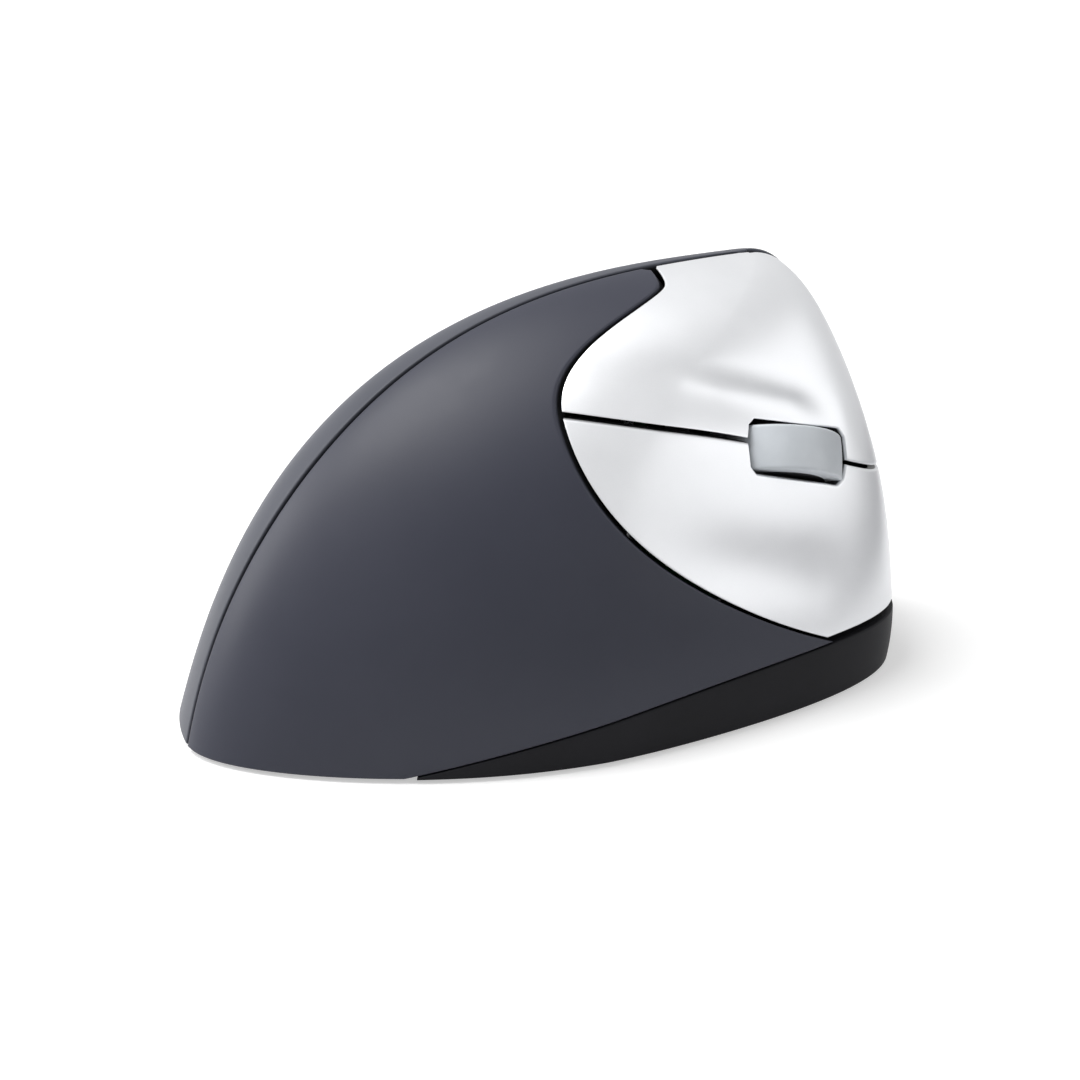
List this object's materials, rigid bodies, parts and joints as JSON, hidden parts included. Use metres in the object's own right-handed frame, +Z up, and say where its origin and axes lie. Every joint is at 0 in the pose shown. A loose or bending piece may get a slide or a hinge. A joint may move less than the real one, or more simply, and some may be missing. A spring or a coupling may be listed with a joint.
{
  "type": "vertical ergonomic mouse",
  "caption": "Cordless right-handed vertical mouse: tall leaning body, silver finger keys with a scroll wheel between them, thumb buttons on the far side, battery door underneath.",
  "frame": {"origin": "middle of the footprint at desk level", "axes": "+Y to the front where the keys are, +X to the finger side, +Z up"},
  "size_m": [0.069, 0.1156, 0.063],
  "materials": {
    "palm_grey": "soft-touch coating, satin",
    "thumb_grey": "soft-touch coating, satin",
    "base_black": "fine moulded texture",
    "frame_black": "moulded",
    "key_silver": "silver metallic paint on plastic, satin",
    "button_black": "satin",
    "wheel_rubber": "satin soft rubber",
    "hub_black": "moulded",
    "switch_black": "moulded",
    "pin_steel": "ground",
    "screw_steel": "zinc plated",
    "board_green": "solder mask",
    "plunger_red": "moulded",
    "lens_clear": "clear moulded plastic",
    "switch_metal": "stamped",
    "cell_wrap": "plain wrap",
    "contact_steel": "nickel plated",
    "cable_white": "flat cable",
    "glide_grey": "low-friction pad"
  },
  "bodies": {
    "housing": {"base_plate": "base_black", "glide_feet": "glide_grey", "palm_shell": "palm_grey", "thumb_shell": "thumb_grey", "chassis": "frame_black", "key_hinge_pin": "pin_steel", "finger_board": "board_green", "index_switch": "switch_black", "middle_switch": "switch_black", "cradle_pin": "pin_steel", "wheel_click_switch": "switch_black", "thumb_board": "board_green", "thumb_forward_switch": "switch_black", "thumb_back_switch": "switch_black", "main_board": "board_green", "controller_chip": "switch_black", "optical_sensor": "switch_black", "sensor_lens": "lens_clear", "power_switch": "switch_metal", "battery_cell": "cell_wrap", "battery_spring": "contact_steel", "battery_contact": "contact_steel", "ribbon_cable": "cable_white", "case_screws": "screw_steel", "board_screws": "screw_steel"},
    "index_key": {"index_button": "key_silver", "index_plunger": "plunger_red"},
    "middle_key": {"middle_button": "key_silver", "middle_plunger": "plunger_red"},
    "wheel_carrier": {"wheel_cradle": "frame_black", "wheel_encoder": "switch_black"},
    "wheel": {"wheel_tyre": "wheel_rubber", "wheel_hub": "hub_black"},
    "thumb_forward_key": {"thumb_forward_button": "button_black"},
    "thumb_back_key": {"thumb_back_button": "button_black"},
    "power_slider": {"power_knob": "button_black"},
    "door": {"battery_door": "base_black"}
  },
  "joints": [
    {"name": "index_press", "type": "hinge", "parent": "housing", "child": "index_key", "pos_m": [0.01264, 0.01175, 0.04201], "axis": [-0.5493, 0.1897, 0.8138], "range_deg": [0, 0.9], "stiffness_Nm_per_rad": 1},
    {"name": "middle_press", "type": "hinge", "parent": "housing", "child": "middle_key", "pos_m": [0.01264, 0.01175, 0.04201], "axis": [-0.5493, 0.1897, 0.8138], "range_deg": [0, 0.9], "stiffness_Nm_per_rad": 1},
    {"name": "wheel_click", "type": "hinge", "parent": "housing", "child": "wheel_carrier", "pos_m": [0.00953, 0.01994, 0.038], "axis": [-0.5493, 0.1897, 0.8138], "range_deg": [0, 1], "stiffness_Nm_per_rad": 1.2},
    {"name": "wheel_spin", "type": "hinge", "parent": "wheel_carrier", "child": "wheel", "pos_m": [0.01176, 0.03605, 0.03575], "axis": [-0.5493, 0.1897, 0.8138], "continuous": true},
    {"name": "thumb_forward_press", "type": "slide", "parent": "housing", "child": "thumb_forward_key", "axis": [1, 0, 0], "range_m": [0, 0.0005], "stiffness_N_per_m": 1600},
    {"name": "thumb_back_press", "type": "slide", "parent": "housing", "child": "thumb_back_key", "axis": [1, 0, 0], "range_m": [0, 0.0005], "stiffness_N_per_m": 1600},
    {"name": "power_slide", "type": "slide", "parent": "housing", "child": "power_slider", "axis": [0, 1, 0], "range_m": [0, 0.0026]},
    {"name": "door_release", "type": "slide", "parent": "housing", "child": "door", "axis": [0, 0, -1], "range_m": [0, 0.012]}
  ]
}
